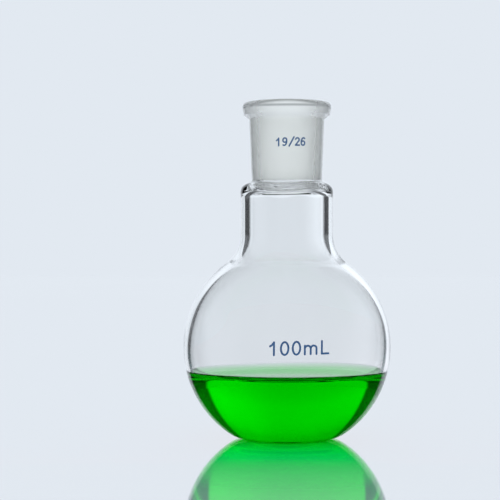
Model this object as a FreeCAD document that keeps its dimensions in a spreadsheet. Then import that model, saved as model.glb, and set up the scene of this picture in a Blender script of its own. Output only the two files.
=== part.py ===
import FreeCAD, Part
import Sketcher
import math
import os

# Reaction flask: a flat-bottomed 100 ml bulb with a wide neck and a ground 19/26 socket,
# blown and welded as one piece of glass, and the green liquid that stands in it.
# Millimetres, +Z up, origin on the bench plane in the middle of the foot.

sizes = {
    # Bulb: a sphere whose underside is flattened to a standing ring and pushed up inside it
    "bulb_radius": 32.0,
    "bulb_wall": 1.95,
    "foot_depth": 3.78,
    "foot_width": 2.5,
    "foot_rise": 0.8,
    "foot_wall": 2.0,
    "heel_radius": 10.5,
    "heel_inside_radius": 4.0,
    # Neck: a straight tube with a swept flare down to the bulb
    "neck_radius": 14.3,
    "neck_wall": 2.6,
    "neck_length": 13.2,
    "flare_radius": 10.5,
    "flare_inside_radius": 12.6,
    # Shoulder: the neck closes in over the weld, at a nearly even wall
    "shoulder_radius": 3.1,
    "shoulder_wall": 2.3,
    "shoulder_inside_radius": 2.3,
    "weld_radius": 0.8,
    # Socket: the standard 19/26 ground bore, 18.8 across its mouth, narrowing 1 in 10
    "bore_radius": 9.4,
    "bore_length": 26.0,
    "bore_taper": 10.0,
    "bore_end_radius": 1.4,
    "weld_lap": 1.3,
    "socket_wall": 2.5,
    "socket_wall_low": 2.7,
    # Lip: a fire-polished bead round the mouth
    "lip_radius": 13.8,
    "lip_depth": 5.1,
    "lip_slope": 38.0,
    "lip_draft": 10.0,
    "lip_low_round": 0.9,
    "lip_top_round": 1.2,
    "mouth_round": 0.5,
    # Liquid: its level above the bench plane, and the curve in which it climbs the wall it wets
    "fill_height": 19.2,
    "meniscus_rise": 2.2,
    "meniscus_radius": 4.0,
}

doc = FreeCAD.newDocument("ReactionFlask")
sheet = doc.addObject("Spreadsheet::Sheet", "Sizes")
for row, (alias, number) in enumerate(sizes.items(), start=1):
    sheet.set(f"A{row}", alias)
    sheet.set(f"B{row}", str(number))
    sheet.setAlias(f"B{row}", alias)
doc.recompute()

SKETCH_NORMAL = FreeCAD.Vector(0, 0, 1)
START, END, CENTRE = 1, 2, 3
HORIZONTAL_AXIS, VERTICAL_AXIS = -1, -2
ORIGIN = (HORIZONTAL_AXIS, START)


# Helpers for half sections, where x is the radius and y is the height

def size(alias):
    return float(sheet.get(alias))


def at(radius, height):
    return FreeCAD.Vector(radius, height, 0)


def toward(point, goal):
    return (goal - point).normalize()


def touching(centre, radius, other_centre):
    # Two circles touch on the line through their centres
    return centre + toward(centre, other_centre) * radius


def crossing(point, direction, other_point, other_direction):
    # Where two lines cross
    gap = other_point - point
    across = direction.x * other_direction.y - direction.y * other_direction.x
    return point + direction * ((gap.x * other_direction.y - gap.y * other_direction.x) / across)


def centre_between(line_point, direction, offset, circle_centre, distance):
    # Centre of an arc beside a line, at a set distance from a circle below it
    side = at(direction.y, -direction.x)
    base = line_point + side * offset
    nearest = base + direction * direction.dot(circle_centre - base)
    gap = (circle_centre - nearest).Length
    return nearest + direction * math.sqrt(distance ** 2 - gap ** 2)


def round_off(before, corner, after, radius):
    # First point, centre and last point of an arc that rounds a corner of two lines
    back = toward(corner, before)
    ahead = toward(corner, after)
    half = back.getAngle(ahead) / 2
    middle = (back + ahead).normalize()
    reach = radius / math.tan(half)
    return corner + back * reach, corner + middle * (radius / math.sin(half)), corner + ahead * reach


class Outline:
    # A chain of lines and arcs in a sketch, each drawn from where the last one ended

    def __init__(self, sketch, start):
        self.sketch = sketch
        self.here = start
        self.last_end = None
        self.first_end = None
        self.count = 0

    def join(self, piece, first, last, smooth):
        if self.last_end is None:
            self.first_end = (piece, first)
        else:
            kind = "Tangent" if smooth else "Coincident"
            self.sketch.addConstraint(Sketcher.Constraint(kind, *self.last_end, piece, first))
        self.last_end = (piece, last)
        return piece

    def line_to(self, end, smooth=True):
        piece = self.sketch.addGeometry(Part.LineSegment(self.here, end))
        self.here = end
        return self.join(piece, START, END, smooth)

    def arc_to(self, end, centre, turn, smooth=True):
        angles = [math.atan2(point.y - centre.y, point.x - centre.x) for point in (self.here, end)]
        circle = Part.Circle(centre, SKETCH_NORMAL, (end - centre).Length)
        first, last = (START, END) if turn == "left" else (END, START)
        if turn == "right":
            angles.reverse()
        piece = self.sketch.addGeometry(Part.ArcOfCircle(circle, *angles))
        self.here = end
        return self.join(piece, first, last, smooth)

    def close(self):
        self.sketch.addConstraint(Sketcher.Constraint("Coincident", *self.last_end, *self.first_end))

    def rule(self, kind, *references):
        self.sketch.addConstraint(Sketcher.Constraint(kind, *references))

    def bind(self, kind, references, value, expression):
        # A dimension that follows the sheet
        self.count += 1
        name = f"size_{self.count}"
        index = self.sketch.addConstraint(Sketcher.Constraint(kind, *references, value))
        self.sketch.renameConstraint(index, name)
        self.sketch.setExpression("Constraints." + name, expression)

    def radius(self, piece, expression):
        self.bind("Radius", (piece,), self.sketch.Geometry[piece].Radius, expression)

    def across(self, first, second, expression):
        span = self.sketch.getPoint(*second).x - self.sketch.getPoint(*first).x
        self.bind("DistanceX", (*first, *second), span, expression)

    def height(self, first, second, expression):
        span = self.sketch.getPoint(*second).y - self.sketch.getPoint(*first).y
        self.bind("DistanceY", (*first, *second), span, expression)

    def lean(self, piece, expression):
        line = self.sketch.Geometry[piece]
        run = line.EndPoint - line.StartPoint
        self.bind("Angle", (piece,), math.atan2(run.y, run.x), expression)

    def gauge_point(self, place, line):
        # A point on the line's own course, from which the line is measured
        point = self.sketch.addGeometry(Part.Point(place), True)
        self.rule("PointOnObject", point, START, line)
        return (point, START)


def half_section(body, name):
    # A sketch on the body's own upright plane, to be turned about Z
    plane = next(item for item in body.Origin.OriginFeatures if item.Role == "XZ_Plane")
    sketch = body.newObject("Sketcher::SketchObject", name)
    sketch.AttachmentSupport = [(plane, "")]
    sketch.MapMode = "FlatFace"
    return sketch


def turn_about_axis(body, sketch, name):
    turned = body.newObject("PartDesign::Revolution", name)
    turned.Profile = sketch
    turned.ReferenceAxis = (sketch, ["V_Axis"])
    turned.Angle = 360
    sketch.Visibility = False
    return turned


# Places that the two half sections share

bulb_centre = at(0, size("bulb_radius") - size("foot_depth"))
cavity_radius = size("bulb_radius") - size("bulb_wall")
floor_top = at(0, size("foot_rise") + size("foot_wall"))


def draw_cavity(outline, bulb_end):
    # The inside of the bulb, from the middle of its floor out and up to a given end
    heel = size("heel_inside_radius")
    heel_height = size("foot_wall") + heel
    heel_reach = math.sqrt((cavity_radius - heel) ** 2 - (bulb_centre.y - heel_height) ** 2)
    heel_centre = at(heel_reach, heel_height)
    rise = size("foot_rise")
    floor_radius = (heel_reach ** 2 + rise ** 2) / (2 * rise) - heel
    floor_centre = floor_top - at(0, floor_radius)

    floor = outline.arc_to(touching(floor_centre, floor_radius, heel_centre), floor_centre, "right")
    turn = outline.arc_to(touching(bulb_centre, cavity_radius, heel_centre), heel_centre, "left")
    bulb = outline.arc_to(bulb_end, bulb_centre, "left")

    outline.rule("PointOnObject", floor, END, VERTICAL_AXIS)
    outline.rule("PointOnObject", floor, CENTRE, VERTICAL_AXIS)
    outline.height(ORIGIN, (floor, END), "Sizes.foot_rise + Sizes.foot_wall")
    outline.radius(turn, "Sizes.heel_inside_radius")
    outline.height(ORIGIN, (turn, CENTRE), "Sizes.foot_wall + Sizes.heel_inside_radius")
    outline.rule("PointOnObject", bulb, CENTRE, VERTICAL_AXIS)
    outline.height(ORIGIN, (bulb, CENTRE), "Sizes.bulb_radius - Sizes.foot_depth")
    outline.radius(bulb, "Sizes.bulb_radius - Sizes.bulb_wall")
    return bulb


def flare_centre(bulb, neck, flare):
    # Centre of the arc that sweeps from a bulb's radius to a neck's
    reach = neck + flare
    return at(reach, bulb_centre.y + math.sqrt((bulb + flare) ** 2 - reach ** 2))


def draw_neck_inside(outline, mouth_height):
    # Neck tube, shoulder and ground bore, from the flare up to the rounded mouth
    neck = size("neck_radius") - size("neck_wall")
    flare = size("flare_inside_radius")
    sweep_centre = flare_centre(cavity_radius, neck, flare)
    crown = size("shoulder_inside_radius")
    crown_depth = size("bore_length") - size("weld_lap") + size("shoulder_wall") + crown
    crown_centre = at(neck - crown, mouth_height - crown_depth)
    mouth = at(size("bore_radius"), mouth_height)
    narrowing = size("bore_length") / size("bore_taper") / 2
    small_end = mouth - at(narrowing, size("bore_length"))
    bore_direction = toward(small_end, mouth)
    bend = size("bore_end_radius")
    bend_centre = centre_between(small_end, bore_direction, bend, crown_centre, crown + bend)
    bore_start = bend_centre - at(bore_direction.y, -bore_direction.x) * bend
    rim_start, rim_centre, rim_end = round_off(
        small_end, mouth, at(size("lip_radius"), mouth_height), size("mouth_round"))

    sweep = outline.arc_to(at(neck, sweep_centre.y), sweep_centre, "right")
    tube = outline.line_to(at(neck, crown_centre.y))
    shoulder = outline.arc_to(touching(crown_centre, crown, bend_centre), crown_centre, "left")
    bore_end = outline.arc_to(bore_start, bend_centre, "right")
    bore = outline.line_to(rim_start)
    rim = outline.arc_to(rim_end, rim_centre, "right")
    mouth_gauge = outline.gauge_point(mouth, bore)
    small_gauge = outline.gauge_point(small_end, bore)

    outline.radius(sweep, "Sizes.flare_inside_radius")
    outline.rule("Vertical", tube)
    outline.across(ORIGIN, (tube, END), "Sizes.neck_radius - Sizes.neck_wall")
    outline.radius(shoulder, "Sizes.shoulder_inside_radius")
    outline.height((shoulder, CENTRE), mouth_gauge, "Sizes.bore_length - Sizes.weld_lap"
                   " + Sizes.shoulder_wall + Sizes.shoulder_inside_radius")
    outline.radius(bore_end, "Sizes.bore_end_radius")
    outline.across(ORIGIN, mouth_gauge, "Sizes.bore_radius")
    outline.across(small_gauge, mouth_gauge, "Sizes.bore_length / Sizes.bore_taper / 2")
    outline.height(small_gauge, mouth_gauge, "Sizes.bore_length")
    outline.radius(rim, "Sizes.mouth_round")
    return mouth_gauge, small_gauge


def draw_lip(outline, mouth_height):
    # The bead: top face, rounded edge, drafted side and the slope under it
    top_round = size("lip_top_round")
    top_centre = at(size("lip_radius") - top_round, mouth_height - top_round)
    draft = math.radians(size("lip_draft"))
    side_start = top_centre + at(math.cos(draft), -math.sin(draft)) * top_round
    side_direction = at(-math.sin(draft), -math.cos(draft))
    depth = size("lip_depth")
    root = at(socket_radius(depth, size("socket_wall")), mouth_height - depth)
    slope = math.radians(size("lip_slope"))
    corner = crossing(side_start, side_direction, root, at(math.cos(slope), math.sin(slope)))
    low_start, low_centre, low_end = round_off(side_start, corner, root, size("lip_low_round"))

    top = outline.line_to(at(top_centre.x, mouth_height))
    edge = outline.arc_to(side_start, top_centre, "right")
    side = outline.line_to(low_start)
    low_edge = outline.arc_to(low_end, low_centre, "right")
    underside = outline.line_to(root)

    outline.rule("Horizontal", top)
    outline.radius(edge, "Sizes.lip_top_round")
    outline.across(ORIGIN, (edge, CENTRE), "Sizes.lip_radius - Sizes.lip_top_round")
    outline.lean(side, "-(90 + Sizes.lip_draft) * 1 deg")
    outline.radius(low_edge, "Sizes.lip_low_round")
    outline.lean(underside, "-(180 - Sizes.lip_slope) * 1 deg")
    return top, underside


def socket_radius(depth, wall):
    # Outer radius of the socket at a depth under the mouth, for a wall round the bore there
    return size("bore_radius") - depth / size("bore_taper") / 2 + wall


def draw_outside(outline, mouth_height, gauges, underside):
    # Down the socket, over the shoulder, down the neck and round the bulb to its foot
    mouth_gauge, small_gauge = gauges
    root = outline.here
    bore = size("bore_length")
    low = at(socket_radius(bore, size("socket_wall_low")), mouth_height - bore)
    shoulder = size("shoulder_radius")
    neck = size("neck_radius")
    shoulder_depth = bore - size("weld_lap") + shoulder
    shoulder_centre = at(neck - shoulder, mouth_height - shoulder_depth)
    socket_direction = toward(low, root)
    weld = size("weld_radius")
    weld_centre = centre_between(low, socket_direction, weld, shoulder_centre, shoulder + weld)
    socket_end = weld_centre - at(socket_direction.y, -socket_direction.x) * weld
    bulb = size("bulb_radius")
    flare = size("flare_radius")
    sweep_centre = flare_centre(bulb, neck, flare)
    heel = size("heel_radius")
    heel_centre = at(math.sqrt((bulb - heel) ** 2 - (bulb_centre.y - heel) ** 2), heel)
    ring_inside = heel_centre.x - size("foot_width")
    rise = size("foot_rise")
    push_radius = (ring_inside ** 2 + rise ** 2) / (2 * rise)

    socket = outline.line_to(socket_end, smooth=False)
    weld_arc = outline.arc_to(touching(shoulder_centre, shoulder, weld_centre), weld_centre, "left")
    crown = outline.arc_to(at(neck, shoulder_centre.y), shoulder_centre, "right")
    tube = outline.line_to(at(neck, sweep_centre.y))
    sweep = outline.arc_to(touching(bulb_centre, bulb, sweep_centre), sweep_centre, "left")
    bulb_arc = outline.arc_to(touching(bulb_centre, bulb, heel_centre), bulb_centre, "right")
    heel_arc = outline.arc_to(at(heel_centre.x, 0), heel_centre, "right")
    ring = outline.line_to(at(ring_inside, 0))
    push = outline.arc_to(at(0, rise), at(0, rise - push_radius), "left", smooth=False)
    outline.line_to(floor_top, smooth=False)
    low_gauge = outline.gauge_point(low, socket)

    wall_at_lip = "Sizes.bore_radius - Sizes.lip_depth / Sizes.bore_taper / 2 + Sizes.socket_wall"
    outline.across(ORIGIN, (underside, END), wall_at_lip)
    outline.height((underside, END), mouth_gauge, "Sizes.lip_depth")
    outline.across(small_gauge, low_gauge, "Sizes.socket_wall_low")
    outline.height(low_gauge, mouth_gauge, "Sizes.bore_length")
    outline.radius(weld_arc, "Sizes.weld_radius")
    outline.radius(crown, "Sizes.shoulder_radius")
    outline.height((crown, CENTRE), mouth_gauge,
                   "Sizes.bore_length - Sizes.weld_lap + Sizes.shoulder_radius")
    outline.rule("Vertical", tube)
    outline.across(ORIGIN, (tube, START), "Sizes.neck_radius")
    outline.height((tube, END), (tube, START), "Sizes.neck_length")
    outline.radius(sweep, "Sizes.flare_radius")
    outline.rule("PointOnObject", bulb_arc, CENTRE, VERTICAL_AXIS)
    outline.height(ORIGIN, (bulb_arc, CENTRE), "Sizes.bulb_radius - Sizes.foot_depth")
    outline.radius(bulb_arc, "Sizes.bulb_radius")
    outline.radius(heel_arc, "Sizes.heel_radius")
    outline.rule("PointOnObject", ring, START, HORIZONTAL_AXIS)
    outline.rule("PointOnObject", ring, END, HORIZONTAL_AXIS)
    outline.across((ring, END), (ring, START), "Sizes.foot_width")
    outline.rule("PointOnObject", push, CENTRE, VERTICAL_AXIS)
    outline.rule("PointOnObject", push, END, VERTICAL_AXIS)
    outline.height(ORIGIN, (push, END), "Sizes.foot_rise")


# Flask: one half section, turned about the axis

def make_flask():
    body = doc.addObject("PartDesign::Body", "Flask")
    body.Label = "flask"
    sketch = half_section(body, "FlaskSection")
    sweep_centre = flare_centre(size("bulb_radius"), size("neck_radius"), size("flare_radius"))
    mouth_height = (sweep_centre.y + size("neck_length") + size("shoulder_radius")
                    + size("bore_length") - size("weld_lap"))
    neck_inside = size("neck_radius") - size("neck_wall")
    inner_sweep = flare_centre(cavity_radius, neck_inside, size("flare_inside_radius"))

    outline = Outline(sketch, floor_top)
    draw_cavity(outline, touching(bulb_centre, cavity_radius, inner_sweep))
    gauges = draw_neck_inside(outline, mouth_height)
    top, underside = draw_lip(outline, mouth_height)
    outline.rule("PointOnObject", *gauges[0], top)
    draw_outside(outline, mouth_height, gauges, underside)
    outline.close()
    turn_about_axis(body, sketch, "FlaskTurned")
    return body, sketch


# Liquid: fills the bulb to its level, against the flask's own inside wall

def make_liquid():
    body = doc.addObject("PartDesign::Body", "Liquid")
    body.Label = "liquid"
    sketch = half_section(body, "LiquidSection")
    level = size("fill_height")
    curl = size("meniscus_radius")
    edge_height = level + size("meniscus_rise")
    edge = at(math.sqrt(cavity_radius ** 2 - (edge_height - bulb_centre.y) ** 2), edge_height)
    curl_reach = math.sqrt(curl ** 2 - (level + curl - edge_height) ** 2)
    curl_centre = at(edge.x - curl_reach, level + curl)

    outline = Outline(sketch, floor_top)
    bulb = draw_cavity(outline, edge)
    meniscus = outline.arc_to(at(curl_centre.x, level), curl_centre, "right", smooth=False)
    surface = outline.line_to(at(0, level))
    outline.line_to(floor_top, smooth=False)
    outline.close()
    outline.rule("Horizontal", surface)
    outline.rule("PointOnObject", surface, END, VERTICAL_AXIS)
    outline.height(ORIGIN, (surface, END), "Sizes.fill_height")
    outline.height((surface, END), (bulb, END), "Sizes.meniscus_rise")
    outline.radius(meniscus, "Sizes.meniscus_radius")
    turn_about_axis(body, sketch, "LiquidTurned")
    return body, sketch


pieces = [make_flask(), make_liquid()]
doc.recompute()

for item in doc.Objects:
    if "Invalid" in item.State or "Error" in item.State:
        raise RuntimeError(f"{item.Name} failed: {item.State}")
for body, sketch in pieces:
    if not sketch.FullyConstrained:
        raise RuntimeError(f"{sketch.Name} is not fully constrained")
    if body.Shape.isNull() or not body.Shape.isValid():
        raise RuntimeError(f"{body.Label} has no valid shape")

os.makedirs("parts", exist_ok=True)
for body, sketch in pieces:
    body.Shape.exportStep(f"parts/{body.Label}.step")
    box = body.Shape.optimalBoundingBox()
    print(f"{body.Label}: {len(body.Shape.Solids)} solid, {body.Shape.Volume:.1f} mm3, "
          f"z {box.ZMin:.3f} to {box.ZMax:.3f}, across {box.XLength:.3f}")
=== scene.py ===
import math

import bmesh
import bpy
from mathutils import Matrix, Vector, noise


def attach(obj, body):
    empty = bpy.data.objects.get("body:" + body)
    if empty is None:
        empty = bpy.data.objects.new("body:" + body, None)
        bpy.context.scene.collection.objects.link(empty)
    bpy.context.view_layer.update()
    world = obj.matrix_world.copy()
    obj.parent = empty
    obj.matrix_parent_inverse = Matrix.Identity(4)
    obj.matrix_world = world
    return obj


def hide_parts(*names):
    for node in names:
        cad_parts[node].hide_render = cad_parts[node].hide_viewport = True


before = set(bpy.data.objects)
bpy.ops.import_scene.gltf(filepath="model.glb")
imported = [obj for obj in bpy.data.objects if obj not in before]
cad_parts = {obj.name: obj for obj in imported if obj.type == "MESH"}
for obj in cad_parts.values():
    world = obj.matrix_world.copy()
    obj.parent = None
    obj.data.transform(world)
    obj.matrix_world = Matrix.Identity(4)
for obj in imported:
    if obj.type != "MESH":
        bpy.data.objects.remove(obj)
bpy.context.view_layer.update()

mm = 0.001     # outlines are drawn in millimetres, the scene is in metres


# camera: level with the neck, aimed a little to the left of the flask

cameraSetup = {
    "distance": 0.438,     # from the lens to the flask's axis
    "height": 0.05572,     # above the bench
    "lens": 101.7,
    "sensor": 36.0,
    "nearest": 0.01,       # nothing closer to the lens is seen
    "frame": 500.0,        # pixels across the picture
    "axisPixel": 286.8,    # where the flask's axis stands in the picture
    "horizonPixel": 258.0,
}


def placeCamera():
    focal = cameraSetup["lens"] / cameraSetup["sensor"] * cameraSetup["frame"]
    middle = cameraSetup["frame"] / 2
    turn = math.atan((cameraSetup["axisPixel"] - middle) / focal)
    tilt = math.atan((cameraSetup["horizonPixel"] - middle) / focal)
    data = bpy.data.cameras.new("camera")
    data.lens = cameraSetup["lens"]
    data.sensor_width = cameraSetup["sensor"]
    data.clip_start = cameraSetup["nearest"]
    camera = bpy.data.objects.new("camera", data)
    camera.location = (0, -cameraSetup["distance"], cameraSetup["height"])
    camera.rotation_euler = (math.pi / 2 + tilt, 0, turn)
    bpy.context.collection.objects.link(camera)
    bpy.context.scene.camera = camera
    print("camera placed")


# outlines: half sections in millimetres, x is the radius and y is the height

widestTurn = math.radians(6)     # the most that an arc turns between two of its points


def toward(point, goal):
    return (goal - point).normalized()


def touching(centre, radius, otherCentre):
    return centre + toward(centre, otherCentre) * radius


def crossing(point, direction, otherPoint, otherDirection):
    gap = otherPoint - point
    across = direction.x * otherDirection.y - direction.y * otherDirection.x
    return point + direction * ((gap.x * otherDirection.y - gap.y * otherDirection.x) / across)


def centreBeside(linePoint, direction, offset, circleCentre, distance):
    base = linePoint + Vector((direction.y, -direction.x)) * offset
    nearest = base + direction * direction.dot(circleCentre - base)
    gap = (circleCentre - nearest).length
    return nearest + direction * math.sqrt(distance ** 2 - gap ** 2)


def cornerArc(before, corner, after, radius):
    back = toward(corner, before)
    ahead = toward(corner, after)
    half = back.angle(ahead) / 2
    reach = radius / math.tan(half)
    middle = (back + ahead).normalized()
    return corner + back * reach, corner + middle * (radius / math.sin(half)), corner + ahead * reach


def addLine(path, end, step):
    start = path[-1]
    count = max(1, math.ceil((end - start).length / step))
    path.extend(start.lerp(end, i / count) for i in range(1, count + 1))


def addArc(path, centre, end, turn, step):
    start = path[-1]
    radius = (end - centre).length
    first = math.atan2(start.y - centre.y, start.x - centre.x)
    last = math.atan2(end.y - centre.y, end.x - centre.x)
    if turn == "left" and last < first:
        last += 2 * math.pi
    if turn == "right" and last > first:
        last -= 2 * math.pi
    sweep = last - first
    count = max(2, math.ceil(abs(sweep) * radius / step), math.ceil(abs(sweep) / widestTurn))
    for i in range(1, count + 1):
        angle = first + sweep * i / count
        path.append(centre + Vector((math.cos(angle), math.sin(angle))) * radius)


# sizes of the flask in millimetres, and the outlines drawn with them

bulb = {
    "radius": 32.0,
    "wall": 1.95,
    "footDepth": 3.78,     # how much the sphere is flattened
    "footWidth": 2.5,      # standing ring
    "footRise": 0.8,       # push-up of the underside
    "footWall": 2.0,
    "heel": 10.5,          # round from the foot to the bulb
    "heelInside": 4.0,
    "neck": 14.3,
    "neckWall": 2.6,
    "neckLength": 13.2,    # its straight stretch
    "flare": 10.5,         # round from the bulb to the neck
    "flareInside": 12.6,
}

socket = {
    "shoulder": 3.1,       # round that closes the neck in
    "shoulderWall": 2.3,
    "shoulderInside": 2.3,
    "weld": 0.8,           # hollow round between the shoulder and the socket
    "bore": 9.4,           # at the mouth
    "boreLength": 26.0,
    "boreTaper": 10.0,     # one in this, on the width
    "boreEnd": 1.4,
    "weldLap": 1.3,        # how far the bore reaches down past the top of the shoulder
    "wall": 2.5,           # under the lip
    "wallLow": 2.7,        # at the small end of the bore
    "lip": 13.8,
    "lipDepth": 5.1,
    "lipSlope": 38.0,      # of its underside, in degrees
    "lipDraft": 10.0,      # of its side, in degrees
    "lipLow": 0.9,
    "lipTop": 1.2,
    "mouthRound": 0.5,
    "rootRound": 0.5,      # under the lip
}

centreHeight = bulb["radius"] - bulb["footDepth"]
bulbCentre = Vector((0, centreHeight))
cavityRadius = bulb["radius"] - bulb["wall"]


def cavityPath(end, step, swell=0.0):
    # from the middle of the floor up the inside of the bulb; swell moves it into the wall
    heel = bulb["heelInside"]
    heelHeight = bulb["footWall"] + heel
    heelReach = math.sqrt((cavityRadius - heel) ** 2 - (centreHeight - heelHeight) ** 2)
    heelCentre = Vector((heelReach, heelHeight))
    rise = bulb["footRise"]
    floorRadius = (heelReach ** 2 + rise ** 2) / (2 * rise) - heel - swell
    floorTop = rise + bulb["footWall"] - swell
    floorCentre = Vector((0, floorTop - floorRadius))
    path = [Vector((0, floorTop))]
    addArc(path, floorCentre, touching(floorCentre, floorRadius, heelCentre), "right", step)
    addArc(path, heelCentre, touching(bulbCentre, cavityRadius + swell, heelCentre), "left", step)
    addArc(path, bulbCentre, end, "left", step)
    return path


def flareCentre(bulbRadius, neckRadius, flareRadius):
    reach = neckRadius + flareRadius
    return Vector((reach, centreHeight + math.sqrt((bulbRadius + flareRadius) ** 2 - reach ** 2)))


def mouthHeight():
    return (flareCentre(bulb["radius"], bulb["neck"], bulb["flare"]).y + bulb["neckLength"]
            + socket["shoulder"] + socket["boreLength"] - socket["weldLap"])


def flaskPath(step):
    # the whole half section: up the inside, over the lip and down the outside to the foot
    mouth = mouthHeight()
    neckInside = bulb["neck"] - bulb["neckWall"]
    innerSweep = flareCentre(cavityRadius, neckInside, bulb["flareInside"])
    path = cavityPath(touching(bulbCentre, cavityRadius, innerSweep), step)
    marks = {}

    crown = socket["shoulderInside"]
    crownDepth = socket["boreLength"] - socket["weldLap"] + socket["shoulderWall"] + crown
    crownCentre = Vector((neckInside - crown, mouth - crownDepth))
    mouthCorner = Vector((socket["bore"], mouth))
    narrowing = socket["boreLength"] / socket["boreTaper"] / 2
    smallEnd = mouthCorner - Vector((narrowing, socket["boreLength"]))
    up = toward(smallEnd, mouthCorner)
    bend = socket["boreEnd"]
    bendCentre = centreBeside(smallEnd, up, bend, crownCentre, crown + bend)
    rimStart, rimCentre, rimEnd = cornerArc(
        smallEnd, mouthCorner, Vector((socket["lip"], mouth)), socket["mouthRound"])

    addArc(path, innerSweep, Vector((neckInside, innerSweep.y)), "right", step)
    addLine(path, Vector((neckInside, crownCentre.y)), step)
    marks["crownStart"] = len(path) - 1
    addArc(path, crownCentre, touching(crownCentre, crown, bendCentre), "left", step / 2)
    addArc(path, bendCentre, bendCentre - Vector((up.y, -up.x)) * bend, "right", step / 2)
    marks["boreStart"] = len(path) - 1
    addLine(path, rimStart, step)
    marks["boreEnd"] = len(path) - 1
    addArc(path, rimCentre, rimEnd, "right", step)

    lipTop = socket["lipTop"]
    topCentre = Vector((socket["lip"] - lipTop, mouth - lipTop))
    draft = math.radians(socket["lipDraft"])
    slope = math.radians(socket["lipSlope"])
    sideStart = topCentre + Vector((math.cos(draft), -math.sin(draft))) * lipTop
    root = Vector((socketRadius(socket["lipDepth"], socket["wall"]), mouth - socket["lipDepth"]))
    corner = crossing(sideStart, Vector((-math.sin(draft), -math.cos(draft))),
                      root, Vector((math.cos(slope), math.sin(slope))))
    lowStart, lowCentre, lowEnd = cornerArc(sideStart, corner, root, socket["lipLow"])
    low = Vector((socketRadius(socket["boreLength"], socket["wallLow"]), smallEnd.y))
    rootStart, rootCentre, rootEnd = cornerArc(corner, root, low, socket["rootRound"])

    addLine(path, Vector((topCentre.x, mouth)), step)
    addArc(path, topCentre, sideStart, "right", step)
    addLine(path, lowStart, step)
    addArc(path, lowCentre, lowEnd, "right", step)
    addLine(path, rootStart, step)
    addArc(path, rootCentre, rootEnd, "left", step)

    shoulder = socket["shoulder"]
    shoulderDepth = socket["boreLength"] - socket["weldLap"] + shoulder
    shoulderCentre = Vector((bulb["neck"] - shoulder, mouth - shoulderDepth))
    weld = socket["weld"]
    down = toward(low, root)
    weldCentre = centreBeside(low, down, weld, shoulderCentre, shoulder + weld)
    outerSweep = flareCentre(bulb["radius"], bulb["neck"], bulb["flare"])
    heel = bulb["heel"]
    heelCentre = Vector((math.sqrt((bulb["radius"] - heel) ** 2 - (centreHeight - heel) ** 2), heel))
    ringInside = heelCentre.x - bulb["footWidth"]
    rise = bulb["footRise"]
    pushRadius = (ringInside ** 2 + rise ** 2) / (2 * rise)

    marks["outside"] = len(path) - 1
    addLine(path, weldCentre - Vector((down.y, -down.x)) * weld, step / 2)
    addArc(path, weldCentre, touching(shoulderCentre, shoulder, weldCentre), "left", step / 2)
    addArc(path, shoulderCentre, Vector((bulb["neck"], shoulderCentre.y)), "right", step / 2)
    addLine(path, Vector((bulb["neck"], outerSweep.y)), step)
    addArc(path, outerSweep, touching(bulbCentre, bulb["radius"], outerSweep), "left", step)
    addArc(path, bulbCentre, touching(bulbCentre, bulb["radius"], heelCentre), "right", step)
    addArc(path, heelCentre, Vector((heelCentre.x, 0)), "right", step)
    addLine(path, Vector((ringInside, 0)), step)
    addArc(path, Vector((0, rise - pushRadius)), Vector((0, rise)), "left", step)
    return path, marks


def socketRadius(depth, wall):
    return socket["bore"] - depth / socket["boreTaper"] / 2 + wall


# turning an outline into a mesh

sharpFrom = math.radians(32)     # steeper edges stay sharp


def addPiece(name, mesh):
    bmesh.ops.recalc_face_normals(mesh, faces=mesh.faces)
    data = bpy.data.meshes.new(name)
    mesh.to_mesh(data)
    mesh.free()
    piece = bpy.data.objects.new(name, data)
    bpy.context.collection.objects.link(piece)
    return piece


def turnOutline(name, path, segments, shift=None):
    # each point becomes a ring, and a point on the axis becomes one vertex
    mesh = bmesh.new()
    rings = []
    for index, point in enumerate(path):
        if point.x < 1e-6:
            rings.append([mesh.verts.new((0, 0, point.y * mm))])
            continue
        ring = []
        for k in range(segments):
            angle = 2 * math.pi * k / segments
            radius, height = (point.x, point.y) if shift is None else shift(index, point, angle)
            ring.append(mesh.verts.new((radius * math.cos(angle) * mm, radius * math.sin(angle) * mm,
                                        height * mm)))
        rings.append(ring)
    ringOfFace = []
    for index, (here, there) in enumerate(zip(rings, rings[1:])):
        for k in range(segments):
            n = (k + 1) % segments
            if len(here) == 1:
                mesh.faces.new((here[0], there[n], there[k]))
            elif len(there) == 1:
                mesh.faces.new((here[k], here[n], there[0]))
            else:
                mesh.faces.new((here[k], here[n], there[n], there[k]))
            ringOfFace.append(index)
    piece = addPiece(name, mesh)
    piece.data.shade_smooth()
    piece.data.set_sharp_from_angle(angle=sharpFrom)
    return piece, ringOfFace


# nodes that the materials and the surround share

def startMaterial(name):
    material = bpy.data.materials.new(name)
    material.use_nodes = True
    return material, material.node_tree


def feed(tree, socketIn, value):
    if isinstance(value, (int, float)):
        socketIn.default_value = value
    else:
        tree.links.new(value, socketIn)


def mathNode(tree, operation, first, second=None):
    node = tree.nodes.new("ShaderNodeMath")
    node.operation = operation
    feed(tree, node.inputs[0], first)
    if second is not None:
        feed(tree, node.inputs[1], second)
    return node.outputs[0]


def mixNode(tree, factor, first, second):
    node = tree.nodes.new("ShaderNodeMix")
    node.data_type = "FLOAT"
    feed(tree, node.inputs["Factor"], factor)
    feed(tree, node.inputs["A"], first)
    feed(tree, node.inputs["B"], second)
    return node.outputs["Result"]


def rangeNode(tree, value, limits, near=0.0, far=1.0, kind="SMOOTHSTEP"):
    # goes from near to far while the value passes the two limits
    node = tree.nodes.new("ShaderNodeMapRange")
    node.interpolation_type = kind
    tree.links.new(value, node.inputs["Value"])
    node.inputs["From Min"].default_value, node.inputs["From Max"].default_value = limits
    node.inputs["To Min"].default_value = near
    node.inputs["To Max"].default_value = far
    return node.outputs["Result"]


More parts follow.
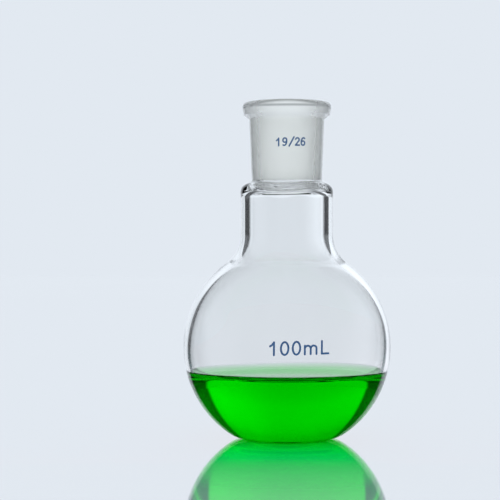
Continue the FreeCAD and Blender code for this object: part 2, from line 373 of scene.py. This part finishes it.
def colourRamp(tree, value, stops):
    # through the given places and colours
    node = tree.nodes.new("ShaderNodeValToRGB")
    tree.links.new(value, node.inputs["Fac"])
    elements = node.color_ramp.elements
    while len(elements) < len(stops):
        elements.new(0.5)
    for element, (place, colour) in zip(elements, stops):
        element.position = place
    for element, (place, colour) in zip(elements, stops):
        element.color = colour
    return node.outputs["Color"]


def levelRamp(tree, value, stops, most):
    # the same for plain numbers, none above the given most
    colour = colourRamp(tree, value, [(place, (level / most, level / most, level / most, 1))
                                      for place, level in stops])
    parts = tree.nodes.new("ShaderNodeSeparateColor")
    tree.links.new(colour, parts.inputs[0])
    return mathNode(tree, "MULTIPLY", parts.outputs[0], most)


def placeOf(tree, kind="Object"):
    place = tree.nodes.new("ShaderNodeTexCoord").outputs[kind]
    parts = tree.nodes.new("ShaderNodeSeparateXYZ")
    tree.links.new(place, parts.inputs[0])
    return place, parts.outputs


def makeClear(shader, roughness, ior):
    # lets the light through and hardly mirrors
    shader.inputs["Roughness"].default_value = roughness
    shader.inputs["IOR"].default_value = ior
    shader.inputs["Transmission Weight"].default_value = 1.0
    shader.inputs["Specular Tint"].default_value = (glass["glare"], glass["glare"], glass["glare"], 1)


def bendingShader(tree, colour, ior):
    # bends the light and mirrors nothing
    shader = tree.nodes.new("ShaderNodeBsdfRefraction")
    shader.inputs["Color"].default_value = colour
    shader.inputs["Roughness"].default_value = 0.0
    shader.inputs["IOR"].default_value = ior
    return shader.outputs[0]


def blendShaders(tree, factor, first, second):
    blend = tree.nodes.new("ShaderNodeMixShader")
    tree.links.new(factor, blend.inputs["Fac"])
    tree.links.new(first, blend.inputs[1])
    tree.links.new(second, blend.inputs[2])
    tree.links.new(blend.outputs[0], tree.nodes["Material Output"].inputs["Surface"])


# glass

glass = {
    "tint": (0.945, 0.948, 0.946, 1),
    "glare": 0.12,         # keeps the front of the flask from mirroring the room
    "ior": 1.47,
    "groundTint": (0.985, 0.985, 0.935, 1),
    "groundRoughness": 0.7,
    "groundFrom": 78.3,    # below it the ground bore is glazed by the weld's heat
    "groundTo": 103.3,
    # painted shade: the ground glass is tinted darker in a ring below the mouth, for the dark line
    # that the mouth's rounding shows, and a little darker in the lip under it: heights and shares of the
    # tint
    "paintedRimShade": [(98.2, 1.0), (99.4, 0.95), (101.9, 0.95), (102.25, 0.36), (102.6, 0.36), (102.9, 1.0)],
    "rimLean": 0.09,       # the ring runs higher towards the back
    "segments": 168,
    "step": 0.62,          # longest step along the outline
}


def polishedGlass():
    material, tree = startMaterial("polishedGlass")
    shader = tree.nodes["Principled BSDF"]
    shader.inputs["Base Color"].default_value = glass["tint"]
    makeClear(shader, 0.0, glass["ior"])
    return material


def groundGlass():
    material, tree = startMaterial("groundGlass")
    shader = tree.nodes["Principled BSDF"]
    makeClear(shader, glass["groundRoughness"], glass["ior"])
    # painted shade: the tint darkens in a ring below the mouth, leaning up towards the back
    parts = placeOf(tree)[1]
    height = mathNode(tree, "SUBTRACT", parts["Z"], mathNode(
        tree, "MULTIPLY", parts["Y"], glass["rimLean"]))
    lift = glass["rimLean"] * socket["bore"]
    lowest, highest = glass["paintedRimShade"][0][0], glass["paintedRimShade"][-1][0]
    near = rangeNode(tree, height, ((lowest + lift) * mm, (highest + lift) * mm), kind="LINEAR")
    red, green, blue, full = glass["groundTint"]
    stops = [((level - lowest) / (highest - lowest), (red * share, green * share, blue * share, full))
             for level, share in glass["paintedRimShade"]]
    tree.links.new(colourRamp(tree, near, stops), shader.inputs["Base Color"])
    return material


def wettedGlass():
    # glass against the liquid bends the light, but hardly mirrors
    material, tree = startMaterial("wettedGlass")
    tree.nodes.remove(tree.nodes["Principled BSDF"])
    through = bendingShader(tree, [math.sqrt(value) for value in glass["tint"]], glass["ior"])
    tree.links.new(through, tree.nodes["Material Output"].inputs["Surface"])
    return material


handWork = {
    "weldDrift": 0.26,         # how far the flame moved the glass of the weld
    "weldOutside": 0.6,        # share of it on the outside
    "weldFrom": 73.6,
    "weldTo": 81.5,
    "weldSoft": 2.2,
    "weldRound": 1.2,          # how fast the drift changes round the weld and up it
    "weldUp": 0.2,
    "weldGrain": (1.3, 1.5),   # how fine it is, in radius and in height
    "weldApart": 7,            # keeps the outside from drifting as the inside does
    "wallDrift": 0.14,         # how uneven the bulb was blown
    "wallSide": 0.3,           # thicker at the left
    "wallThick": 0.1,          # and thicker half way up than at the foot
    "wallFrom": 21.0,
    "wallTo": 64.0,
    "wallSoft": 18.0,
    "wallRound": 0.7,
    "wallUp": 0.03,
}


def window(value, low, high, soft):
    rise = min(1, max(0, (value - low) / soft))
    fall = min(1, max(0, (high - value) / soft))
    return (rise * rise * (3 - 2 * rise)) * (fall * fall * (3 - 2 * fall))


def handShift(marks):
    def shift(index, point, angle):
        around = Vector((math.cos(angle), math.sin(angle), 0))
        radius, height = point
        inside = index < marks["boreStart"]
        outside = index > marks["outside"]
        weld = window(height, handWork["weldFrom"], handWork["weldTo"], handWork["weldSoft"])
        if weld and (inside or outside):
            apart, side = (handWork["weldApart"], handWork["weldOutside"]) if outside else (0, 1.0)
            seat = around * handWork["weldRound"] + Vector((0, 0, height * handWork["weldUp"] + apart))
            wide, high = handWork["weldGrain"]
            radius += handWork["weldDrift"] * weld * noise.noise(seat * wide) * side
            height += handWork["weldDrift"] * weld * noise.noise(seat * high + Vector((3, 8, 1)))
        if inside:
            share = window(height, handWork["wallFrom"], handWork["wallTo"], handWork["wallSoft"])
            seat = around * handWork["wallRound"] + Vector((0, 0, height * handWork["wallUp"] + 2))
            drift = handWork["wallDrift"] * noise.noise(seat)
            radius += share * (drift + handWork["wallSide"] * around.x - handWork["wallThick"])
        return radius, height
    return shift


def makeFlask():
    path, marks = flaskPath(glass["step"])
    piece, ringOfFace = turnOutline("flask_glass", path, glass["segments"], handShift(marks))
    for material in (polishedGlass(), groundGlass(), wettedGlass()):
        piece.data.materials.append(material)
    wetTo = liquid["level"] + liquid["rise"]
    for face, ring in zip(piece.data.polygons, ringOfFace):
        if ring < marks["crownStart"] and path[ring + 1].y <= wetTo:
            face.material_index = 2
        inBore = marks["boreStart"] <= ring < marks["boreEnd"]
        if inBore and glass["groundFrom"] <= path[ring].y <= glass["groundTo"]:
            face.material_index = 1
    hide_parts("flask")
    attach(piece, "root")
    print("flask:", len(path), "points in the outline,", len(piece.data.polygons), "faces")


# liquid

liquid = {
    "level": 19.2,
    "rise": 2.2,           # how far the rim climbs the wall
    "capillary": 2.7,      # how far from the wall the climb begins to show
    "rimLap": 0.012,
    "rimSoft": 1.2,        # how far below the rim the lap begins to thin
    "intoWall": 0.12,      # laps into the glass, so that no air shows between them
    "wetBand": 0.04,       # this close to the cavity's wall, and below this share of the level,
    "wetBelow": 0.6,       # the surface counts as wetted
    "flattening": 1 / 12,  # share of the slope that each step away from the wall takes off
    "flat": 0.004,         # slope that counts as level, and how wide it runs out
    "runOut": 0.3,
    "ior": 1.33,
    "absorption": 220.0,   # per metre
    "passes": (0.0, 0.969, 0.02, 1),
    "segments": 160,
    "step": 0.6,
}


def greenLiquid():
    material, tree = startMaterial("greenLiquid")
    shader = tree.nodes["Principled BSDF"]
    shader.inputs["Base Color"].default_value = (1, 1, 1, 1)
    makeClear(shader, 0.0, liquid["ior"])
    # where it wets the glass it mirrors nothing; its own surface does
    place, parts = placeOf(tree)
    fromCentre = tree.nodes.new("ShaderNodeVectorMath")
    fromCentre.operation = "DISTANCE"
    tree.links.new(place, fromCentre.inputs[0])
    fromCentre.inputs[1].default_value = (0, 0, centreHeight * mm)
    atWall = mathNode(tree, "GREATER_THAN", fromCentre.outputs["Value"],
                      (cavityRadius - liquid["wetBand"]) * mm)
    atFloor = mathNode(tree, "LESS_THAN", parts["Z"], liquid["wetBelow"] * liquid["level"] * mm)
    blendShaders(tree, mathNode(tree, "MAXIMUM", atWall, atFloor), shader.outputs["BSDF"],
                 bendingShader(tree, (1, 1, 1, 1), liquid["ior"]))
    dye = tree.nodes.new("ShaderNodeVolumeAbsorption")
    dye.inputs["Color"].default_value = liquid["passes"]
    dye.inputs["Density"].default_value = liquid["absorption"]
    tree.links.new(dye.outputs["Volume"], tree.nodes["Material Output"].inputs["Volume"])
    return material


def addMeniscus(path):
    # the still surface near a wall: height and slope are tied by the capillary length
    length = liquid["capillary"]
    slope, radius = 2 * math.asin(liquid["rise"] / (2 * length)), path[-1].x
    while slope > liquid["flat"]:
        nextSlope = slope * (1 - liquid["flattening"])
        middle = (slope + nextSlope) / 2
        radius -= (slope - nextSlope) * length * math.cos(middle) / (2 * math.sin(middle / 2))
        slope = nextSlope
        path.append(Vector((radius, liquid["level"] + 2 * length * math.sin(slope / 2))))
    path.append(Vector((radius - liquid["runOut"], liquid["level"])))


def makeLiquid():
    lap, rimLap, soft = liquid["intoWall"], liquid["rimLap"], liquid["rimSoft"]
    rim = liquid["level"] + liquid["rise"]
    edge = Vector((math.sqrt((cavityRadius + lap) ** 2 - (rim - centreHeight) ** 2), rim))
    path = cavityPath(edge, liquid["step"], lap)
    for index, point in enumerate(path):
        share = window(point.y, rim - soft, rim + 2 * soft, soft)
        path[index] = point - (point - bulbCentre).normalized() * (lap - rimLap) * share
    path[-1] = Vector((math.sqrt(cavityRadius ** 2 - (rim - centreHeight) ** 2) + rimLap, rim))
    addMeniscus(path)
    addLine(path, Vector((0, liquid["level"])), 2 * liquid["step"])
    piece = turnOutline("green_liquid", path, liquid["segments"])[0]
    piece.data.materials.append(greenLiquid())
    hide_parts("liquid")
    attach(piece, "root")
    print("liquid:", len(path), "points in the outline,", len(piece.data.polygons), "faces")


# enamel marks, printed on the outside of the glass

enamel = {
    "colour": (0.022, 0.085, 0.215, 1),
    "thinner": (1.7, 1.5, 1.35),   # times the colour, where the print is thin
    "thinFrom": 0.35,      # in the noise that thins it
    "thinTo": 0.75,
    "cloudScale": 900.0,
    "roughness": 0.35,
    "thick": 0.04,
    "sunk": 0.02,          # how far the print is fused into the glass
    "layer": 0.0015,       # each stroke lies a hair above the last, as the pen laid them
    "grain": 0.3,          # longest step along a stroke, so that the print follows the curve
    "roundEnd": (20, 40, 60, 75, 86),   # degrees round the end of a stroke
    # each letter and where it stands, in letter heights
    "volume": {
        "letters": [("1", 0.34), ("0", 1.075), ("0", 1.884), ("m", 2.874), ("L", 3.67)],
        "tall": 4.2, "pen": 0.58, "side": -5.16, "foot": 27.48, "lean": 1.6, "shear": 0.012,
    },
    "joint": {
        "letters": [("1", 0.2), ("9", 0.93), ("/", 1.74), ("2", 2.44), ("6", 3.15)],
        "tall": 2.55, "pen": 0.44, "side": -2.98, "foot": 89.52, "lean": 1.5, "shear": 0.0,
    },
}


def bow(centre, halves, first, last, count=18):
    # part of an ellipse, by its angles in degrees
    angles = [math.radians(first + (last - first) * i / count) for i in range(count + 1)]
    return [(centre[0] + halves[0] * math.cos(a), centre[1] + halves[1] * math.sin(a)) for a in angles]


def penStrokes(letter):
    # the middle lines of a letter's strokes; it is one high
    if letter == "0":
        return [bow((0, 0.5), (0.255, 0.435), 0, 360, 40)]
    if letter == "1":
        return [[(0, 0.94), (0, 0.06)], [(-0.27, 0.67), (-0.13, 0.76), (-0.02, 0.9)]]
    if letter == "2":
        return [bow((0, 0.71), (0.22, 0.225), 165, -35) + [(-0.235, 0.07)], [(-0.235, 0.07), (0.25, 0.07)]]
    if letter == "6":
        return [bow((0, 0.31), (0.225, 0.25), 0, 360, 30),
                bow((0.08, 0.4), (0.305, 0.53), 180, 75, 14) + [(0.22, 0.84)]]
    if letter == "9":
        return [bow((0, 0.69), (0.225, 0.25), 0, 360, 30),
                bow((-0.08, 0.6), (0.305, 0.53), 0, -95, 14) + [(-0.2, 0.12)]]
    if letter == "/":
        return [[(-0.29, -0.02), (0.29, 1.05)]]
    if letter == "m":
        return [[(-0.41, 0.65), (-0.41, 0.06)],
                bow((-0.205, 0.44), (0.205, 0.2), 180, 0) + [(0, 0.06)],
                bow((0.205, 0.44), (0.205, 0.2), 180, 0) + [(0.41, 0.06)]]
    return [[(0, 0.92), (0, 0.06)], [(0, 0.06), (0.49, 0.06)]]


def evenSteps(points, step):
    # the same line in steps no longer than the given one
    steps = [points[0]]
    for here, there in zip(points, points[1:]):
        count = max(1, math.ceil((there - here).length / step))
        steps.extend(here.lerp(there, i / count) for i in range(1, count + 1))
    return steps


def layStroke(mesh, points, pen, place, low, high):
    # a flat ribbon with round ends, or a closed loop, made of rungs across its middle line
    loop = (points[0] - points[-1]).length < 1e-4
    if loop:
        points = points[:-1]
    rungs = []
    for i, point in enumerate(points):
        before = points[i - 1] if i or loop else point
        after = points[(i + 1) % len(points)] if i + 1 < len(points) or loop else point
        along = (after - before).normalized()
        rungs.append((point, along, pen / 2))
    if not loop:
        ends = []
        for end, sign in ((rungs[0], -1), (rungs[-1], 1)):
            point, along, half = end
            turns = [math.radians(angle) for angle in enamel["roundEnd"]]
            ends.append([(point + along * sign * half * math.sin(a), along, half * math.cos(a))
                         for a in turns])
        rungs = ends[0][::-1] + rungs + ends[1]
    corners = []
    for point, along, half in rungs:
        across = Vector((-along.y, along.x)) * half
        corners.append([mesh.verts.new(place(spot.x, spot.y, lift)) for spot, lift in (
            (point + across, low), (point - across, low), (point - across, high), (point + across, high))])
    pairs = list(zip(corners, corners[1:])) + ([(corners[-1], corners[0])] if loop else [])
    for here, there in pairs:
        for k in range(4):
            n = (k + 1) % 4
            mesh.faces.new((here[k], here[n], there[n], there[k]))
    if not loop:
        mesh.faces.new(corners[0])
        mesh.faces.new(corners[-1])


def blueEnamel():
    material, tree = startMaterial("blueEnamel")
    shader = tree.nodes["Principled BSDF"]
    shader.inputs["Roughness"].default_value = enamel["roughness"]
    # the print is a little thinner in places
    cloud = tree.nodes.new("ShaderNodeTexNoise")
    cloud.inputs["Scale"].default_value = enamel["cloudScale"]
    cloud.inputs["Detail"].default_value = 3.0
    tree.links.new(placeOf(tree)[0], cloud.inputs["Vector"])
    thin = [value * times for value, times in zip(enamel["colour"], enamel["thinner"])] + [1]
    shade = colourRamp(tree, cloud.outputs["Fac"], [
        (enamel["thinFrom"], enamel["colour"]), (enamel["thinTo"], thin)])
    tree.links.new(shade, shader.inputs["Base Color"])
    return material


def bulbPoint(across, up, lift):
    # a point of the bulb's outside, by its distance from the front and its height above the bench
    tilt = math.asin((up - centreHeight) / bulb["radius"])
    reach = bulb["radius"] + lift
    turn = across / (bulb["radius"] * math.cos(tilt))
    return Vector((reach * math.cos(tilt) * math.sin(turn), -reach * math.cos(tilt) * math.cos(turn),
                   centreHeight + reach * math.sin(tilt))) * mm


def socketPoint(across, up, lift):
    lower = socketRadius(socket["boreLength"], socket["wallLow"])
    upper = socketRadius(socket["lipDepth"], socket["wall"])
    top = mouthHeight() - socket["lipDepth"]
    foot = mouthHeight() - socket["boreLength"]
    radius = lower + (upper - lower) * (up - foot) / (top - foot)
    turn = across / radius
    return Vector(((radius + lift) * math.sin(turn), -(radius + lift) * math.cos(turn), up)) * mm


def makeMark(name, setup, place, material):
    mesh = bmesh.new()
    tall, lean = setup["tall"], math.tan(math.radians(setup["lean"]))
    count = 0
    for letter, middle in setup["letters"]:
        for stroke in penStrokes(letter):
            points = []
            for x, y in stroke:
                across = (middle + x) * tall
                points.append(Vector((setup["side"] + across + y * tall * setup["shear"],
                                      setup["foot"] + y * tall + across * lean)))
            high = enamel["thick"] - enamel["sunk"] + enamel["layer"] * count
            layStroke(mesh, evenSteps(points, enamel["grain"]), setup["pen"], place, -enamel["sunk"], high)
            count += 1
    piece = addPiece(name, mesh)
    piece.data.materials.append(material)
    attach(piece, "root")
    print(name + ":", count, "strokes,", len(piece.data.polygons), "faces")


# studio: a pale glossy bench and a pale surround

studio = {
    "pale": (0.7605, 0.8148, 0.8796, 1),
    "benchSize": 8.0,
    "benchRoughness": 0.035,
    # what the front of the glass mirrors: a pale backdrop, and beside it the dark room
    "backdrop": (28.0, 38.0),    # degrees from straight ahead, where the one gives way to the other
    "backdropRight": 7.0,        # it reaches this much farther round at the right
    "backdropLevel": 1.1,
    "room": 0.01,
    # what the glass is lit against: degrees round from the far side of the bench, brightness
    "panels": [(0, 1.0), (4, 1.02), (12, 1.2), (22, 1.29), (28.4, 1.24), (31.2, 0.13), (35, 0.06),
               (40, 0.045), (48, 0.06), (54, 0.14), (61, 0.7), (70, 1.0), (110, 1.0), (119, 0.7),
               (126, 0.14), (132, 0.06), (146, 0.04), (150, 0.05), (153, 1.0), (180, 1.0), (207, 1.0),
               (210, 0.05), (214, 0.04), (228, 0.06), (234, 0.14), (241, 0.7), (250, 1.0), (290, 1.0),
               (299, 0.7), (306, 0.14), (312, 0.055), (318, 0.045), (326, 0.05), (328.8, 0.1),
               (331.3, 1.1), (345, 1.06), (360, 1.0)],
    # and how that changes upwards: degrees up, share
    "panelFall": [(0, 1.0), (5, 1.0), (9, 1.07), (13, 1.19), (20, 1.15), (26, 1.04), (33, 0.83),
                  (50, 0.8), (90, 1.0)],
    "brightest": 1.6,            # no panel or share is above it
    "panelLift": (1.0, 7.0),     # degrees up, where the dark panels end
    "aboveRight": 0.19,          # how bright it is above them
    "aboveLeft": 0.15,
    "panelTop": (52.0, 66.0),    # degrees up, where the panels give way to the plain ceiling
    # how much the bench mirrors, the rest being its lit matt part: facing, share of red, share of green
    # and blue;
    # red is mirrored in full sooner, so round the flask's foot the matt part is painted darker and
    # greener, a painted shadow
    "mirrorAndPaintedShade": [(0.0, 0.03, 0.03), (0.68, 0.04, 0.04), (0.741, 0.16, 0.16), (0.79, 0.46, 0.44),
               (0.83, 0.8, 0.74), (0.849, 0.9, 0.82), (0.8557, 0.953, 0.862), (0.8597, 0.998, 0.886),
               (0.865, 1.0, 0.92), (0.872, 1.0, 0.95), (1.0, 1.0, 0.97)],
    # a ray that the bulb turned aside is taken to leave it at this share of its radius,
    "leavesAt": 0.97,
    "leavesBefore": 0.007,       # and this far in front of its axis
}


def degreeRange(tree, value, limits, near=0.0, far=1.0):
    return rangeNode(tree, value, [math.radians(limit) for limit in limits], near, far)


def backdropRange(tree, angle, x, near, far):
    # from what is mirrored of the backdrop to what is mirrored of the dark room beside it
    right = mathNode(tree, "GREATER_THAN", x, 0.0)
    shifted = mathNode(tree, "SUBTRACT", angle, mathNode(
        tree, "MULTIPLY", right, math.radians(studio["backdropRight"])))
    return degreeRange(tree, shifted, studio["backdrop"], near, far)


def panelLight(tree, parts, bearing):
    turn = mathNode(tree, "FRACT", mathNode(tree, "ADD", mathNode(
        tree, "DIVIDE", bearing, 2 * math.pi), 1.0))
    halves = []
    for first, last in ((0, 180), (180, 360)):
        stops = [((angle - first) / 180, level) for angle, level in studio["panels"]
                 if first <= angle <= last]
        half = mathNode(tree, "SUBTRACT", mathNode(tree, "MULTIPLY", turn, 2.0), first / 180)
        halves.append(levelRamp(tree, half, stops, studio["brightest"]))
    panels = mixNode(tree, mathNode(tree, "GREATER_THAN", turn, 0.5), halves[0], halves[1])
    height = mathNode(tree, "ARCSINE", parts["Z"])
    fall = levelRamp(tree, mathNode(tree, "DIVIDE", height, math.pi / 2),
                     [(angle / 90, share) for angle, share in studio["panelFall"]], studio["brightest"])
    above = mixNode(tree, mathNode(tree, "GREATER_THAN", parts["X"], 0.0),
                    studio["aboveLeft"], studio["aboveRight"])
    least = mathNode(tree, "MULTIPLY", degreeRange(tree, height, studio["panelLift"]), above)
    panels = mathNode(tree, "MAXIMUM", mathNode(tree, "MULTIPLY", panels, fall), least)
    return mixNode(tree, degreeRange(tree, height, studio["panelTop"]), panels, 1.0)


def makeSurround():
    world = bpy.data.worlds.new("surround")
    bpy.context.scene.world = world
    world.use_nodes = True
    tree = world.node_tree
    background = tree.nodes["Background"]
    parts = placeOf(tree, "Generated")[1]
    bearing = mathNode(tree, "ARCTAN2", parts["X"], parts["Y"])
    seen = panelLight(tree, parts, bearing)
    rays = tree.nodes.new("ShaderNodeLightPath").outputs
    throughGlass = mathNode(tree, "MULTIPLY",
                            mathNode(tree, "GREATER_THAN", rays["Transmission Depth"], 0.5),
                            mathNode(tree, "SUBTRACT", 1.0, rays["Is Diffuse Ray"]))
    offGlass = mathNode(tree, "MULTIPLY", rays["Is Glossy Ray"], rays["Is Singular Ray"])
    fromAhead = mathNode(tree, "ARCSINE", mathNode(tree, "ABSOLUTE", mathNode(tree, "SINE", bearing)))
    mirrored = backdropRange(tree, fromAhead, parts["X"], studio["backdropLevel"], studio["room"])
    straight = mixNode(tree, offGlass, 1.0, mirrored)
    background.inputs["Color"].default_value = studio["pale"]
    tree.links.new(mixNode(tree, throughGlass, straight, seen), background.inputs["Strength"])


def benchGloss():
    # a white bench with a clear coat, which mirrors more the flatter it is looked at; its matt part fades
    # there too, red first, painted shade round the flask's foot
    material, tree = startMaterial("glossyBench")
    tree.nodes.remove(tree.nodes["Principled BSDF"])
    facing = tree.nodes.new("ShaderNodeLayerWeight").outputs["Facing"]
    # painted shade: the matt part gets what this ramp leaves, so it darkens, red first, where the bench is
    # looked at flattest
    share = colourRamp(tree, facing, [(place, (red, rest, rest, 1))
                                      for place, red, rest in studio["mirrorAndPaintedShade"]])
    spare = tree.nodes.new("ShaderNodeInvert")
    tree.links.new(share, spare.inputs["Color"])
    matt = tree.nodes.new("ShaderNodeBsdfDiffuse")
    tree.links.new(spare.outputs["Color"], matt.inputs["Color"])
    gloss = tree.nodes.new("ShaderNodeBsdfGlossy")
    gloss.inputs["Roughness"].default_value = studio["benchRoughness"]
    tree.links.new(share, gloss.inputs["Color"])
    both = tree.nodes.new("ShaderNodeAddShader")
    tree.links.new(matt.outputs[0], both.inputs[0])
    tree.links.new(gloss.outputs[0], both.inputs[1])

    # where the front of the glass mirrors the bench, the bench is painted black beyond the backdrop, a
    # painted
    # dark reflection: the angle that the bulb turned a ray by follows from the place where the ray meets
    # the bench
    rays = tree.nodes.new("ShaderNodeLightPath").outputs
    outside = mathNode(tree, "LESS_THAN", rays["Transmission Depth"], 0.5)
    mirrored = mathNode(tree, "MULTIPLY", rays["Is Glossy Ray"], rays["Is Singular Ray"])
    parts = placeOf(tree)[1]
    squares = mathNode(tree, "ADD", mathNode(tree, "POWER", parts["X"], 2.0), (centreHeight * mm) ** 2)
    aside = mathNode(tree, "SUBTRACT", mathNode(tree, "SQRT", squares),
                     studio["leavesAt"] * bulb["radius"] * mm)
    ahead = mathNode(tree, "ADD", parts["Y"], studio["leavesBefore"])
    turned = mathNode(tree, "ABSOLUTE", mathNode(tree, "ARCTAN2", aside, ahead))
    dark = backdropRange(tree, turned, parts["X"], 0.0, 1 - studio["room"])
    dim = mathNode(tree, "MULTIPLY", mathNode(tree, "MULTIPLY", outside, mirrored), dark)
    black = tree.nodes.new("ShaderNodeBsdfDiffuse")
    black.inputs["Color"].default_value = (0, 0, 0, 1)
    blendShaders(tree, dim, both.outputs[0], black.outputs[0])
    return material


def makeBench():
    half = studio["benchSize"] / 2
    corners = [(-half, -half, 0), (half, -half, 0), (half, half, 0), (-half, half, 0)]
    data = bpy.data.meshes.new("bench")
    data.from_pydata(corners, [], [(0, 1, 2, 3)])
    bench = bpy.data.objects.new("bench", data)
    bpy.context.collection.objects.link(bench)
    data.materials.append(benchGloss())


scene = bpy.context.scene
scene.view_settings.view_transform = "Standard"
scene.cycles.max_bounces = 32
scene.cycles.transmission_bounces = 32
scene.cycles.glossy_bounces = 16
placeCamera()
makeFlask()
makeLiquid()
markBlue = blueEnamel()
makeMark("volume_mark", enamel["volume"], bulbPoint, markBlue)
makeMark("joint_mark", enamel["joint"], socketPoint, markBlue)
makeSurround()
makeBench()
print("studio ready")
